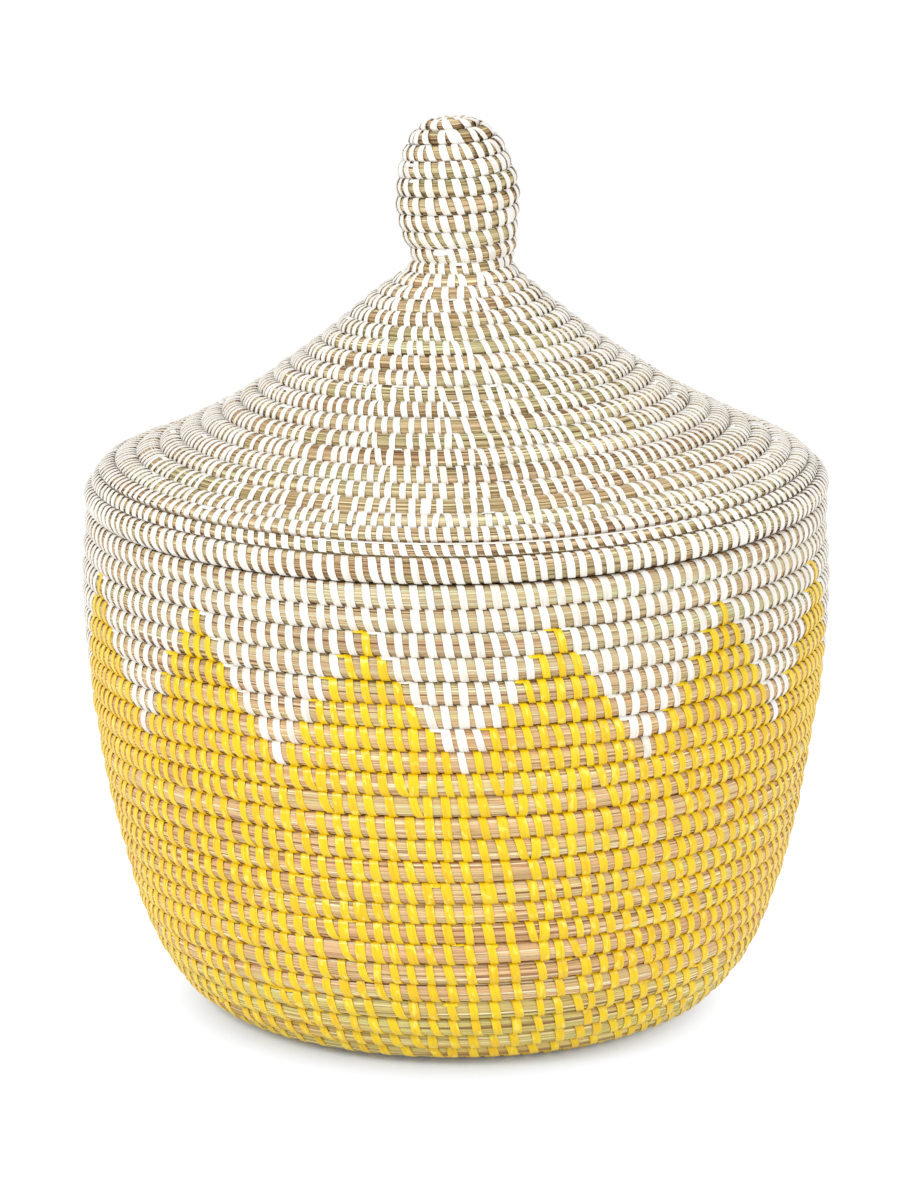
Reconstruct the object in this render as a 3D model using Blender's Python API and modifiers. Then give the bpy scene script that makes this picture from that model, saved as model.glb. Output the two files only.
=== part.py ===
"""A coiled grass basket with a lid that lifts off: a grass bundle wound round and round.

Run with blender --background --python part.py. Metres, +Z up; the origin is on the floor,
under the middle of the basket. The wall's rows climb from foot to mouth, counter-clockwise
from above, and the lid's rows go on in the same sense from the mouth to the top of its knob.
"""

import math

import bpy
import numpy as np

COLLECTION = "lidded_warming_basket"

# Basket: radii, and the climb from first row to last, on the centre line of the rows
FOOT_RADIUS = 0.1137
BELLY_RADIUS = 0.1728
RIM_RADIUS = 0.1710
WALL_RISE = 0.2339

# Lid: radii and climbs on the centre line of the rows, from mouth to neck to the knob's top
NECK_RADIUS = 0.0204
KNOB_RADIUS = 0.0237
SLOPE_RISE = 0.1151
KNOB_RISE = 0.0694

# Inner ring that keeps the lid on the mouth
RING_WIDTH = 0.0092
RING_DROP = 0.0080
RING_CLEARANCE = 0.0020
RING_ROUNDING = 0.0015
RING_SEAM_MERGE = 0.0001

# Gaps: between rows, lid and basket, the ends of two stretches, and under the first row
ROW_GAP = 0.0005
SEAT_GAP = 0.0005
JOINT_GAP = 0.0004
FLOOR_GAP = 0.0002

# Rows, counted as turns of the coil
WALL_TURNS = 24
LID_TURNS = 29.5

# Wall outline: share of the way from foot to belly radius, and of the climb
WALL_SHARES = (
    (0.000, 0.000),
    (0.095, 0.007),
    (0.225, 0.034),
    (0.420, 0.101),
    (0.565, 0.182),
    (0.755, 0.355),
    (0.885, 0.533),
    (0.975, 0.712),
    (1.000, 0.845),
)
RIM_STRAIGHT_SHARE = 0.955

# Lid outline: share of the way in from rim to neck radius, and of the slope's climb
SLOPE_SHARES = (
    (0.000, 0.055),
    (0.033, 0.128),
    (0.098, 0.188),
    (0.229, 0.276),
    (0.419, 0.411),
    (0.597, 0.562),
    (0.758, 0.709),
    (0.892, 0.852),
    (0.970, 0.943),
)

# Knob outline: share of the knob's radius, and of its climb
KNOB_SHARES = (
    (0.873, 0.111),
    (0.940, 0.220),
    (1.000, 0.444),
    (0.916, 0.664),
    (0.641, 0.860),
    (0.430, 0.941),
    (0.170, 1.000),
)

# The lid's rows get thinner towards the knob: share of its turns, share of the first row's height
THINNING_SHARES = (
    (0.00, 1.00),
    (0.03, 1.16),
    (0.06, 1.14),
    (0.10, 1.00),
    (0.30, 0.97),
    (0.61, 0.69),
    (1.00, 0.70),
)

# Facets
SIDES = 6
STATIONS = 16
KNOB_STATIONS = 8
OUTLINE_STEPS = 24
FIT_ROUNDS = 6
BEVEL_SEGMENTS = 2
BEVEL_ANGLE = math.radians(40)

# A coil starts half a facet past the back, and its corners are counted from there
HALF_FACET_TURNS = 0.5 / STATIONS
START_ANGLE = math.pi / 2 + math.tau * HALF_FACET_TURNS

# Where the lid's rows go over to fewer corners, and the room that change of line takes
KINK_TURN = 14
KINK_GAP_TURNS = 0.006

# Stretches of the wall's coil: name, first and last turn, look
WALL_STRETCHES = (
    ("foot_coil", 0, 5, "yellow"),
    ("yellow_wall_coil", 5, 16, "yellow"),
    ("zigzag_band_coil", 16, 22, "zigzag"),
    ("mouth_rim_coil", 22, WALL_TURNS, "white"),
)

# Stretches of the lid's coil: name, first and last turn, corners per turn
LID_STRETCHES = (
    ("lid_rim_coil", 0, 1, STATIONS),
    ("lid_slope_coil", 1, KINK_TURN, STATIONS),
    ("lid_neck_coil", KINK_TURN + KINK_GAP_TURNS, 19.5, KNOB_STATIONS),
    ("knob_coil", 19.5, 26.5, KNOB_STATIONS),
    ("knob_crown_coil", 26.5, LID_TURNS, KNOB_STATIONS),
)

# Rows of grass and plastic strip, as they look together from a step away
COLOURS = {
    "straw": (0.55, 0.38, 0.19),
    "yellow": (0.80, 0.55, 0.06),
    "zigzag": (0.83, 0.66, 0.30),
    "white": (0.82, 0.78, 0.68),
}
ROUGHNESS = 0.55


def clear_scene():
    for item in list(bpy.data.objects):
        bpy.data.objects.remove(item, do_unlink=True)


def new_collection(name):
    collection = bpy.data.collections.new(name)
    bpy.context.scene.collection.children.link(collection)
    return collection


def new_material(name, colour):
    material = bpy.data.materials.new(name)
    material.use_nodes = True
    shader = material.node_tree.nodes["Principled BSDF"]
    shader.inputs["Base Color"].default_value = (*colour, 1)
    shader.inputs["Roughness"].default_value = ROUGHNESS
    shader.inputs["Metallic"].default_value = 0
    return material


class Outline:
    """A smooth line of radius and height, read by the distance along it."""

    def __init__(self, points):
        knots = np.array(points)
        chords = np.hypot(*np.diff(knots, axis=0).T)
        reach = np.concatenate(([0], np.cumsum(chords)))
        slopes = np.gradient(knots, reach, axis=0)
        fine = [knots[:1]]
        for span, chord in enumerate(chords):
            u = np.linspace(0, 1, OUTLINE_STEPS + 1)[1:, None]
            near = (2 * u**3 - 3 * u**2 + 1) * knots[span] + (3 * u**2 - 2 * u**3) * knots[span + 1]
            lean = (u**3 - 2 * u**2 + u) * slopes[span] + (u**3 - u**2) * slopes[span + 1]
            fine.append(near + lean * chord)
        self.points = np.vstack(fine)
        steps = np.hypot(*np.diff(self.points, axis=0).T)
        self.reach = np.concatenate(([0], np.cumsum(steps)))
        self.length = self.reach[-1]

    def direction(self, distance):
        """Unit vector along the line."""
        index = int(np.clip(np.searchsorted(self.reach, distance), 1, len(self.reach) - 1))
        step = self.points[index] - self.points[index - 1]
        return step / np.hypot(*step)

    def at(self, distance):
        """Radius and height; past either end the line goes on straight."""
        inside = min(max(distance, 0), self.length)
        radius = np.interp(inside, self.reach, self.points[:, 0])
        height = np.interp(inside, self.reach, self.points[:, 1])
        return np.array((radius, height)) + self.direction(inside) * (distance - inside)


def corner_radius(half_height):
    return half_height / math.cos(math.pi / SIDES)


def section_gap(one, other):
    """Gap between two sections, across the side that parts them best; below zero they overlap."""
    best = -math.inf
    for sides, corners in ((one, other), (other, one)):
        runs = np.roll(sides, -1, axis=0) - sides
        outward = np.stack((runs[:, 1], -runs[:, 0]), axis=1) / np.hypot(*runs.T)[:, None]
        for start, normal in zip(sides, outward):
            best = max(best, ((corners - start) @ normal).min())
    return best


def mirrored(corners):
    """The section across the axis, with its corners still in counter-clockwise order."""
    return corners[::-1] * np.array((-1, 1))


class Coil:
    """A bundle wound along an outline; its rows' heights may follow a table of shares.

    A row is thinner where the outline bends, so that its corners keep the gap to the next row.
    """

    def __init__(self, outline, turns, height_shares=((0, 1), (1, 1))):
        self.outline = outline
        self.turns = turns
        at_shares, shares = zip(*height_shares)
        fine = np.linspace(0, turns, math.ceil(turns) * OUTLINE_STEPS + 1)
        heights = np.interp(fine / turns, at_shares, shares)
        steps = (heights[1:] + heights[:-1]) / 2 * np.diff(fine)
        reach = np.concatenate(([0], np.cumsum(steps)))
        scale = outline.length / reach[-1]
        self.fine = fine
        self.heights = heights * scale
        self.reach = reach * scale
        self.lift = 0
        self.marks = np.arange(0, turns + HALF_FACET_TURNS / 2, HALF_FACET_TURNS)
        self.halves = (np.array([self.row_height(turn) for turn in self.marks]) - ROW_GAP) / 2
        for _ in range(FIT_ROUNDS):
            self.fit_halves()

    def row_height(self, turn):
        return np.interp(turn, self.fine, self.heights)

    def distance(self, turn):
        """Distance along the outline; before the first turn it goes on at the same rate."""
        inside = min(max(turn, 0), self.turns)
        return np.interp(inside, self.fine, self.reach) + (turn - inside) * self.row_height(inside)

    def fit_halves(self):
        """Takes what a gap lacks, to the next row or across the middle, from the two sections."""
        whole = round(1 / HALF_FACET_TURNS)
        sections = [self.corners(turn) for turn in self.marks]
        across = [mirrored(section) for section in sections]
        for step, others in ((whole, sections), (whole // 2, across)):
            for index in range(len(self.marks) - step):
                lack = ROW_GAP - section_gap(sections[index], others[index + step])
                if lack > 0:
                    self.halves[index] -= lack / 2
                    self.halves[index + step] -= lack / 2

    def half_height(self, turn):
        return np.interp(turn, self.marks, self.halves)

    def section(self, turn):
        """Centre as radius and height, half height, and direction of the outline there."""
        distance = self.distance(turn)
        centre = self.outline.at(distance) + np.array((0, self.lift))
        return centre, self.half_height(turn), self.outline.direction(distance)

    def corners(self, turn):
        """The six corners of the bundle's section, as radius and height."""
        centre, half, direction = self.section(turn)
        start = math.atan2(direction[1], direction[0]) + math.pi / SIDES
        angles = start + np.arange(SIDES) * math.tau / SIDES
        return centre + corner_radius(half) * np.stack((np.cos(angles), np.sin(angles)), axis=1)


def wall_coil():
    """The wall, raised until its first row clears the floor."""
    spread = BELLY_RADIUS - FOOT_RADIUS
    points = [(FOOT_RADIUS + spread * out, WALL_RISE * up) for out, up in WALL_SHARES]
    points.append((RIM_RADIUS, WALL_RISE * RIM_STRAIGHT_SHARE))
    points.append((RIM_RADIUS, WALL_RISE))
    coil = Coil(Outline(points), WALL_TURNS)
    coil.lift = FLOOR_GAP + corner_radius(coil.half_height(0))
    return coil


def lid_coil(wall):
    """The lid, raised until its first turn lies on the wall's last."""
    reach = RIM_RADIUS - NECK_RADIUS
    points = [(RIM_RADIUS, 0)]
    points += [(RIM_RADIUS - reach * inward, SLOPE_RISE * up) for inward, up in SLOPE_SHARES]
    points.append((NECK_RADIUS, SLOPE_RISE))
    points += [(KNOB_RADIUS * out, SLOPE_RISE + KNOB_RISE * up) for out, up in KNOB_SHARES]
    coil = Coil(Outline(points), LID_TURNS, THINNING_SHARES)
    for turn in np.arange(0, 1 + HALF_FACET_TURNS, HALF_FACET_TURNS):
        top = wall.corners(WALL_TURNS - 1 + turn)[:, 1].max()
        bottom = coil.corners(turn)[:, 1].min()
        coil.lift += max(0, top + SEAT_GAP - bottom)
    return coil


def bundle_corner(coil, turn):
    """A corner of the coil: its place, half height and tilt."""
    (radius, height), half, direction = coil.section(turn)
    angle = START_ANGLE + math.tau * turn
    tilt = math.pi / 2 - math.atan2(direction[1], direction[0])
    return np.array((radius * math.cos(angle), radius * math.sin(angle), height, half, tilt))


def edge_corner(coil, turn):
    """A corner of what fills the first row, a gap away from it."""
    radius = coil.corners(turn)[:, 0].min() - ROW_GAP
    angle = START_ANGLE + math.tau * turn
    return np.array((radius * math.cos(angle), radius * math.sin(angle)))


def stretch(corner, first, last, per_turn):
    """What corner gives at each corner from one turn to another; both ends lie on a straight facet."""
    start = (first + HALF_FACET_TURNS) * per_turn
    end = (last + HALF_FACET_TURNS) * per_turn
    places = [start, *range(math.floor(start) + 1, math.ceil(end)), end]
    points = []
    for place in places:
        index = math.floor(place)
        here = corner(index / per_turn - HALF_FACET_TURNS)
        after = corner((index + 1) / per_turn - HALF_FACET_TURNS)
        points.append(here + (after - here) * (place - index))
    return points


def draw_back(points, gap):
    """Both ends moved in by half a gap, so that the next stretch meets this one face to face."""
    for end, inner in ((0, 1), (-1, -2)):
        run = points[inner] - points[end]
        points[end] = points[end] + run * (gap / 2 / np.linalg.norm(run[:3]))
    return points


def make_tube(name, points, material, collection, parent):
    """A six-sided tube whose flat sides face the rows before and after it."""
    curve = bpy.data.curves.new(name, "CURVE")
    curve.dimensions = "3D"
    curve.twist_mode = "Z_UP"
    curve.bevel_depth = 1
    curve.bevel_resolution = 1
    curve.use_fill_caps = True
    spline = curve.splines.new("POLY")
    spline.points.add(len(points) - 1)
    for point, (x, y, z, half, tilt) in zip(spline.points, points):
        point.co = (x, y, z, 1)
        point.radius = corner_radius(half)
        point.tilt = tilt
    curve.materials.append(material)
    tube = bpy.data.objects.new(name, curve)
    collection.objects.link(tube)
    tube.parent = parent
    return tube


def least_gap(coil, first, last):
    """Least gap between a row and the next, and across the middle where the rows are small."""
    gaps = []
    for turn in np.arange(first, last, HALF_FACET_TURNS):
        here = coil.corners(turn)
        if turn + 1 <= last:
            gaps.append(section_gap(here, coil.corners(turn + 1)))
        if turn + 0.5 <= last:
            gaps.append(section_gap(here, mirrored(coil.corners(turn + 0.5))))
    return min(gaps) if gaps else ROW_GAP


def make_stretch(coil, name, span, per_turn, look):
    """One stretch of a coil as a tube, with its least gap to itself printed."""
    material, collection, parent = look
    corners = stretch(lambda turn: bundle_corner(coil, turn), *span, per_turn)
    print(f"{name}: least gap to itself {least_gap(coil, *span) * 1000:.2f} mm")
    return make_tube(name, draw_back(corners, JOINT_GAP), material, collection, parent)


def make_coiled_base(wall, material, collection, parent):
    """The foot's flat spiral, filled: its edge follows the first row, down to the step where it starts."""
    _, half, _ = wall.section(0)
    edge = stretch(lambda turn: edge_corner(wall, turn), 0, 1, STATIONS)
    curve = bpy.data.curves.new("coiled_base", "CURVE")
    curve.dimensions = "2D"
    curve.fill_mode = "BOTH"
    curve.extrude = half
    spline = curve.splines.new("POLY")
    spline.points.add(len(edge) - 1)
    for point, (x, y) in zip(spline.points, edge):
        point.co = (x, y, 0, 1)
    spline.use_cyclic_u = True
    curve.materials.append(material)
    base = bpy.data.objects.new("coiled_base", curve)
    base.location = (0, 0, half)
    collection.objects.link(base)
    base.parent = parent
    return base


def underside(lid, radius):
    """Height of the lid's rows from below, at a radius on its slope."""
    outline = lid.outline
    heights = []
    for turn in np.arange(1, LID_TURNS / 2, HALF_FACET_TURNS):
        centre, half, direction = lid.section(turn)
        inward = np.array((-direction[1], direction[0]))
        heights.append(centre + inward * corner_radius(half))
    edge = np.array(heights)
    order = np.argsort(edge[:, 0])
    return np.interp(radius, edge[order, 0], edge[order, 1])


def make_locating_ring(wall, lid, material, collection, parent):
    """The ring under the lid's slope that drops into the mouth."""
    mouth, half, _ = wall.section(WALL_TURNS)
    outer = mouth[0] - corner_radius(half) - RING_CLEARANCE
    inner = outer - RING_WIDTH
    bottom = lid.lift - lid.half_height(0) - RING_DROP
    tops = [underside(lid, radius) - ROW_GAP for radius in (inner, outer)]
    mesh = bpy.data.meshes.new("locating_ring")
    corners = [(inner, 0, tops[0]), (outer, 0, tops[1]), (outer, 0, bottom), (inner, 0, bottom)]
    edges = [(0, 1), (1, 2), (2, 3), (3, 0)]
    mesh.from_pydata(corners, edges, [])
    mesh.materials.append(material)
    ring = bpy.data.objects.new("locating_ring", mesh)
    collection.objects.link(ring)
    ring.parent = parent
    screw = ring.modifiers.new("turn", "SCREW")
    screw.steps = STATIONS
    screw.render_steps = STATIONS
    screw.merge_threshold = RING_SEAM_MERGE
    screw.use_merge_vertices = True
    bevel = ring.modifiers.new("round", "BEVEL")
    bevel.width = RING_ROUNDING
    bevel.segments = BEVEL_SEGMENTS
    bevel.limit_method = "ANGLE"
    bevel.angle_limit = BEVEL_ANGLE
    return ring


def new_empty(name, height, collection):
    empty = bpy.data.objects.new(name, None)
    empty.location = (0, 0, height)
    collection.objects.link(empty)
    return empty


def build():
    clear_scene()
    collection = new_collection(COLLECTION)
    materials = {name: new_material(name, colour) for name, colour in COLOURS.items()}
    basket = new_empty("basket_axis", 0, collection)
    lift = new_empty("lid_lift_axis", 0, collection)

    wall = wall_coil()
    make_coiled_base(wall, materials["straw"], collection, basket)
    for name, first, last, rows in WALL_STRETCHES:
        look = (materials[rows], collection, basket)
        make_stretch(wall, name, (first, last), STATIONS, look)

    lid = lid_coil(wall)
    for name, first, last, per_turn in LID_STRETCHES:
        look = (materials["white"], collection, lift)
        make_stretch(lid, name, (first, last), per_turn, look)
    make_locating_ring(wall, lid, materials["straw"], collection, lift)


build()
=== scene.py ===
"""Looks of a lidded warming basket: bundles of grass wound in rows and lashed with plastic strip.

Metres. The basket stands on the floor at the origin, its photographed front towards -Y. The rows
climb counter-clockwise from above, and a place along them is told in turns, from the back.
"""

import math

import bpy
import numpy as np
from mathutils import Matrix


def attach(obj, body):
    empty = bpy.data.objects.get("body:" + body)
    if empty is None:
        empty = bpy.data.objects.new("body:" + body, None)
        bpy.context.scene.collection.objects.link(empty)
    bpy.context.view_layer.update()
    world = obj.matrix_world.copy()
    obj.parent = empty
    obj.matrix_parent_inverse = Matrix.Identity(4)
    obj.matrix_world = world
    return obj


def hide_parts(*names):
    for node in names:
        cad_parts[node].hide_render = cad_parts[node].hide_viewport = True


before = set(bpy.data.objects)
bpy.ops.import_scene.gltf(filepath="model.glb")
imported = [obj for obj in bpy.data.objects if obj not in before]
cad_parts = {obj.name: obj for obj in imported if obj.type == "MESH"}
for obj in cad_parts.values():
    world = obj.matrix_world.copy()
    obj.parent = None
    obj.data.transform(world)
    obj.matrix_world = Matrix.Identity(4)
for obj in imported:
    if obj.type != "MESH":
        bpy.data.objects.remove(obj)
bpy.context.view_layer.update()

# Outlines of the rows, as the frame has them: shares of a reach inward or outward, and of a climb.
# The tables of row shares give a share of all the turns, and a row's height against an even row's.
FOOT_RADIUS = 0.1137
BELLY_RADIUS = 0.1728
RIM_RADIUS = 0.1710
WALL_RISE = 0.2330
WALL_LIFT = 0.0037
NECK_RADIUS = 0.0204
KNOB_RADIUS = 0.0243
SLOPE_RISE = 0.1151
KNOB_RISE = 0.0694
LID_LIFT = 0.2377
WALL_SHARES = (
    (0.000, 0.000),
    (0.095, 0.007),
    (0.225, 0.034),
    (0.420, 0.101),
    (0.565, 0.182),
    (0.755, 0.355),
    (0.885, 0.533),
    (0.975, 0.712),
    (1.000, 0.845),
)
RIM_STRAIGHT_SHARE = 0.955
SLOPE_SHARES = (
    (0.000, 0.061),
    (0.033, 0.150),
    (0.098, 0.190),
    (0.229, 0.266),
    (0.419, 0.403),
    (0.597, 0.558),
    (0.758, 0.708),
    (0.892, 0.858),
    (0.970, 0.954),
)
KNOB_SHARES = (
    (0.873, 0.111),
    (0.940, 0.220),
    (1.000, 0.444),
    (0.916, 0.664),
    (0.641, 0.862),
    (0.430, 0.925),
    (0.120, 0.935),
)
WALL_ROW_SHARES = (
    (0.00, 0.57),
    (0.04, 0.78),
    (0.08, 0.94),
    (0.13, 1.03),
    (0.22, 0.99),
    (0.60, 1.00),
    (0.80, 0.99),
    (1.00, 1.01),
)
LID_ROW_SHARES = (
    (0.000, 1.09),
    (0.024, 1.07),
    (0.036, 0.68),
    (0.050, 0.56),
    (0.075, 0.725),
    (0.120, 1.00),
    (0.200, 1.12),
    (0.300, 0.99),
    (0.450, 0.93),
    (0.610, 0.70),
    (0.720, 0.73),
    (0.840, 0.78),
    (0.920, 0.70),
    (1.000, 0.66),
)
WALL_TURNS = 24
LID_TURNS = 30.5
LID_END = 31.1
BASE_TURNS = 12
BASE_START_RADIUS = 0.0046
BASE_END_RADIUS = 0.1091
BASE_ROW_SHARES = ((0.000, 1.00), (0.917, 1.00), (1.000, 0.12))
EVEN_ROW_SHARES = ((0, 1), (1, 1))
BASE_LIFT = 0.0050
RING_RADIUS = 0.15865
RING_FOOT = 0.2290
RING_RISE = 0.0183
RING_TURNS = 2
START_ANGLE = math.radians(101.25)
OUTLINE_STEPS = 24
FINE_PER_TURN = 48

# How hand-wound rows wander, and how their ends thin: over how many turns, and the share that is left
WALL_WOBBLE = 0.00045
LID_WOBBLE = 0.0003
WOBBLES_PER_TURN = 9
CROWN_TAPER = 0.5
END_TAPER = 0.04
TAPER_END = 0.45

# How the lid sits out of true: height, shift to the right, rise per metre to the right, more radius
LID_WARP = (
    (LID_LIFT + 0.004, 0, 0, 0),
    (LID_LIFT + 0.018, 0.0008, 0.005, -0.0006),
    (LID_LIFT + 0.030, 0.0024, 0.012, -0.0020),
    (LID_LIFT + 0.044, 0.0028, 0.014, -0.0014),
    (LID_LIFT + 0.060, 0.0022, 0.013, -0.0008),
    (LID_LIFT + 0.090, 0.0008, 0.010, 0.0012),
    (LID_LIFT + 0.104, 0.0010, 0.005, 0.0008),
    (LID_LIFT + 0.112, 0.0027, 0.003, -0.0008),
    (LID_LIFT + 0.124, 0.0027, 0, 0.0006),
    (LID_LIFT + 0.132, 0.0008, 0, 0.0008),
    (LID_LIFT + 0.150, 0.0006, 0, 0.0008),
    (LID_LIFT + 0.186, -0.0010, 0, 0.0004),
)
# How the rows round the mouth stand higher at the sides: height, rise in front, at the left and right
SIDE_RISES = (
    (0.085, 0, 0, 0),
    (0.160, 0, 0.0016, 0.0026),
    (0.225, 0, 0.0046, 0.0064),
    (0.243, 0, 0.0046, 0.0064),
    (0.256, -0.0007, 0.0034, 0.0044),
    (0.268, -0.0011, 0.0020, 0.0026),
    (0.282, -0.0005, 0.0010, 0.0012),
    (0.298, -0.0002, 0.0003, 0.0003),
    (0.315, 0, 0, 0),
)

# The bundle: depth against height, room between stations, stems round it and their relief
DEPTH_SHARE = 0.97
STATION_LENGTH = 0.0072
STEMS = 22
STEM_RELIEF = 0.00016
STEM_DRIFT = 0.00014
STEM_LENGTH = 0.040
# Painted shade on the grass: where it starts, as a share of the way round towards the valley between
# rows
GRASS_SHADE_START = 0.80
CRISP_ANGLE = math.radians(55)

# The strip: stations round the bundle, its profile across as a share of width and a height over the
# grass, how far it is pressed flat and drawn in between rows, and how it bridges from row to row
STRIP_STATIONS = 14
STRIP_PROFILE = (
    (-0.5, -0.00025),
    (-0.49, 0.00045),
    (0, 0.00055),
    (0.49, 0.00045),
    (0.5, -0.00025),
)
STRIP_PRESSED = 0.55
STRIP_WAIST = 0.05
STRIP_BRIDGE = 0.0018
STRIP_LEAST_PROUD = 0.9
STRIP_MORE_PROUD = 0.2
# Painted shade on the strip towards the valley between rows: where it starts, and how dark it gets
STRIP_SHADE_START = 0.86
STRIP_VALLEY_SHADE = 0.20

# The strip's UV map, in metres: a stitch's width and length, and the way from one to the next
STRIP_UV_WIDTH = 0.0034
STRIP_UV_LENGTH = 0.033
STRIP_UV_STEP = 0.07

# Ends of strip along a row: stations, height over the grass, how much of it is lost at the sides and
# the tips, the bow that an end lies in, and the part of the strip's width that shows
STRAND_STATIONS = 10
STRAND_PROUD = 0.0012
STRAND_CROWN = 0.0003
STRAND_TIP_PRESSED = 0.8
STRAND_BOW = 0.10
STRAND_UV_START = 0.3
STRAND_UV_SHARE = 0.4

# Room for a stitch, its width and its slant down the row, by turn
WALL_ROOMS = (
    (0, 0.0087),
    (3, 0.0084),
    (5, 0.0080),
    (7, 0.0079),
    (9, 0.0078),
    (11, 0.0077),
    (13, 0.0074),
    (15, 0.0071),
    (24, 0.0070),
)
WALL_WIDTHS = (
    (0, 0.0042),
    (5, 0.0041),
    (7, 0.0041),
    (10, 0.0042),
    (14, 0.0041),
    (17, 0.0038),
    (24, 0.0036),
)
WALL_SLANTS = ((0, 0.0042), (4, 0.0038), (6, 0.0030))
LID_ROOMS = (
    (0, 0.0060),
    (1.5, 0.0057),
    (3, 0.0059),
    (6, 0.0058),
    (9, 0.0053),
    (13, 0.0052),
    (17, 0.0050),
)
LID_WIDTHS = (
    (0, 0.0035),
    (1, 0.0034),
    (2, 0.0030),
    (6, 0.0030),
    (9, 0.0029),
    (18, 0.0029),
    (21, 0.0030),
)
LID_SLANTS = ((0, 0.0038), (1, 0.0034), (2, 0.0027))
FRONT_TURN = 0.469
FRONT_SPREAD = 0.04

# Columns of stitches: the shares of an even room at which one is dropped or added, how fast they
# even out, and how far the neighbours of a dropped one lean into its gap
NARROW_SHARE = 0.85
WIDE_SHARE = 1.9
EASE_SHARE = 0.38
PINCH_SHARE = 0.32

# How stitches differ: spreads and limits in metres, widths as shares, and moods of a few stitches
PLACE_SPREAD = 0.00026
PLACE_LIMIT = 0.0007
WIDTH_SPREAD = 0.08
WIDTH_LIMITS = (0.80, 1.22)
DOUBLE_WIDTHS = (1.3, 1.7)
SLANT_SPREAD = 0.00050
END_SPREAD = 0.00030
MOOD_STITCHES = 6
MOOD_WIDTH = 0.06
MOOD_PLACE = 0.00036

# The zigzag: its rows, stitches in a turn and in a point, the turn where a point stands, and the
# wall's last stitch, counted from the last point
BAND_START = 16
BAND_END = 22
BAND_STITCHES = 156
POINT_STITCHES = 12
POINT_TURN = 0.4333
TOP_STITCH = 87

RANDOM_SEED = 20261130
dice = np.random.default_rng(RANDOM_SEED)


def linear(*values):
    """A colour from 0 to 255, as the shaders take it."""
    shares = np.array(values) / 255
    low = shares / 12.92
    high = ((shares + 0.055) / 1.055) ** 2.4
    return (*np.where(shares <= 0.04045, low, high).tolist(), 1)


def smooth_noise(steps, columns, places):
    """Even random values for each column, eased from step to step; read at places counted in steps."""
    knots = dice.uniform(-1, 1, (steps + 2, columns))
    low = np.floor(places).astype(int)
    part = places - low
    ease = (part * part * (3 - 2 * part))[:, None]
    return knots[low] * (1 - ease) + knots[low + 1] * ease


def running_sum(steps):
    """What has been gone before each step, and after the last."""
    return np.concatenate(([0], np.cumsum(steps)))


def table_value(table, place):
    """A value from rows of place and value, in between as well."""
    places, values = zip(*table)
    return np.interp(place, places, values)


def smooth_outline(points):
    """An outline's points, with a smooth curve through them."""
    knots = np.array(points)
    chords = np.hypot(*np.diff(knots, axis=0).T)
    slopes = np.gradient(knots, running_sum(chords), axis=0)
    line = [knots[:1]]
    for span, chord in enumerate(chords):
        u = np.linspace(0, 1, OUTLINE_STEPS + 1)[1:, None]
        near = (2 * u**3 - 3 * u**2 + 1) * knots[span] + (3 * u**2 - 2 * u**3) * knots[span + 1]
        lean = (u**3 - 2 * u**2 + u) * slopes[span] + (u**3 - u**2) * slopes[span + 1]
        line.append(near + lean * chord)
    return np.vstack(line)


class Coil:
    """Rows wound along an outline: radius, height, direction and half height at any turn.

    A taper is the turn where the bundle ends and the turns over which it thins, below zero at the
    far end. The rows go on for one turn past both ends, so that stitches there have a place.
    """

    def __init__(self, points, turns, lift, rows=EVEN_ROW_SHARES, wobble=0, warp=None, tapers=()):
        line = smooth_outline(points)
        along = running_sum(np.hypot(*np.diff(line, axis=0).T))
        self.marks = np.linspace(-1, turns + 1, round((turns + 2) * FINE_PER_TURN) + 1)
        heights = table_value(rows, self.marks / turns)
        # Each row touches the one a turn before: half of either lies between their middles
        places = heights[0] * (self.marks + 1)
        for mark in range(FINE_PER_TURN, len(places)):
            before = mark - FINE_PER_TURN
            places[mark] = places[before] + (heights[before] + heights[mark]) / 2
        places -= np.interp(0, self.marks, places)
        scale = along[-1] / np.interp(turns, self.marks, places)
        places *= scale
        self.halves = heights * scale / 2
        for end, reach in tapers:
            left = np.clip((self.marks - end) / reach, 0, 1)
            self.halves *= np.sqrt(1 - (1 - left) ** 2).clip(TAPER_END, 1)
        inside = np.clip(places, 0, along[-1])
        radii = np.interp(inside, along, line[:, 0])
        rises = np.interp(inside, along, line[:, 1])
        starts, ends = line[1] - line[0], line[-1] - line[-2]
        starts, ends = starts / np.hypot(*starts), ends / np.hypot(*ends)
        before, after = np.minimum(places, 0), np.maximum(places - along[-1], 0)
        self.radii = radii + before * starts[0] + after * ends[0]
        self.rises = rises + before * starts[1] + after * ends[1] + lift
        lean = np.stack((np.gradient(self.radii, places), np.gradient(self.rises, places)))
        self.leans = lean / np.hypot(*lean)
        steps = round((turns + 2) * WOBBLES_PER_TURN)
        waves = smooth_noise(steps, 2, np.linspace(0, steps, len(self.marks)))
        self.radii = self.radii + wobble * waves[:, 0]
        self.rises = self.rises + wobble * waves[:, 1] / 2
        around = math.tau * (self.radii[1:] + self.radii[:-1]) / 2 * np.diff(self.marks)
        self.reaches = running_sum(around)
        self.warp = warp

    def read(self, turn):
        """Centre radius and height, the outline's direction, and half a row's height."""
        tables = (self.radii, self.rises, *self.leans, self.halves)
        return [np.interp(turn, self.marks, table) for table in tables]

    def reach(self, turn):
        """Length of the bundle up to a turn."""
        return np.interp(turn, self.marks, self.reaches)

    def way_round(self, turn):
        """Length of one turn."""
        return math.tau * float(self.read(turn)[0])


def wound(coil, turn, angle, proud, outward=0):
    """Points on the bundle: turn, angle round its section from outward, height over the grass."""
    radius, height, lean_out, lean_up, half = coil.read(turn)
    deep = (half * DEPTH_SHARE + proud) * np.cos(angle) + outward
    rise = (half + proud) * np.sin(angle)
    out = radius + lean_up * deep + lean_out * rise
    up = height - lean_out * deep + lean_up * rise
    heading = START_ANGLE + math.tau * turn
    return settled(coil, out, heading, up)


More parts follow.
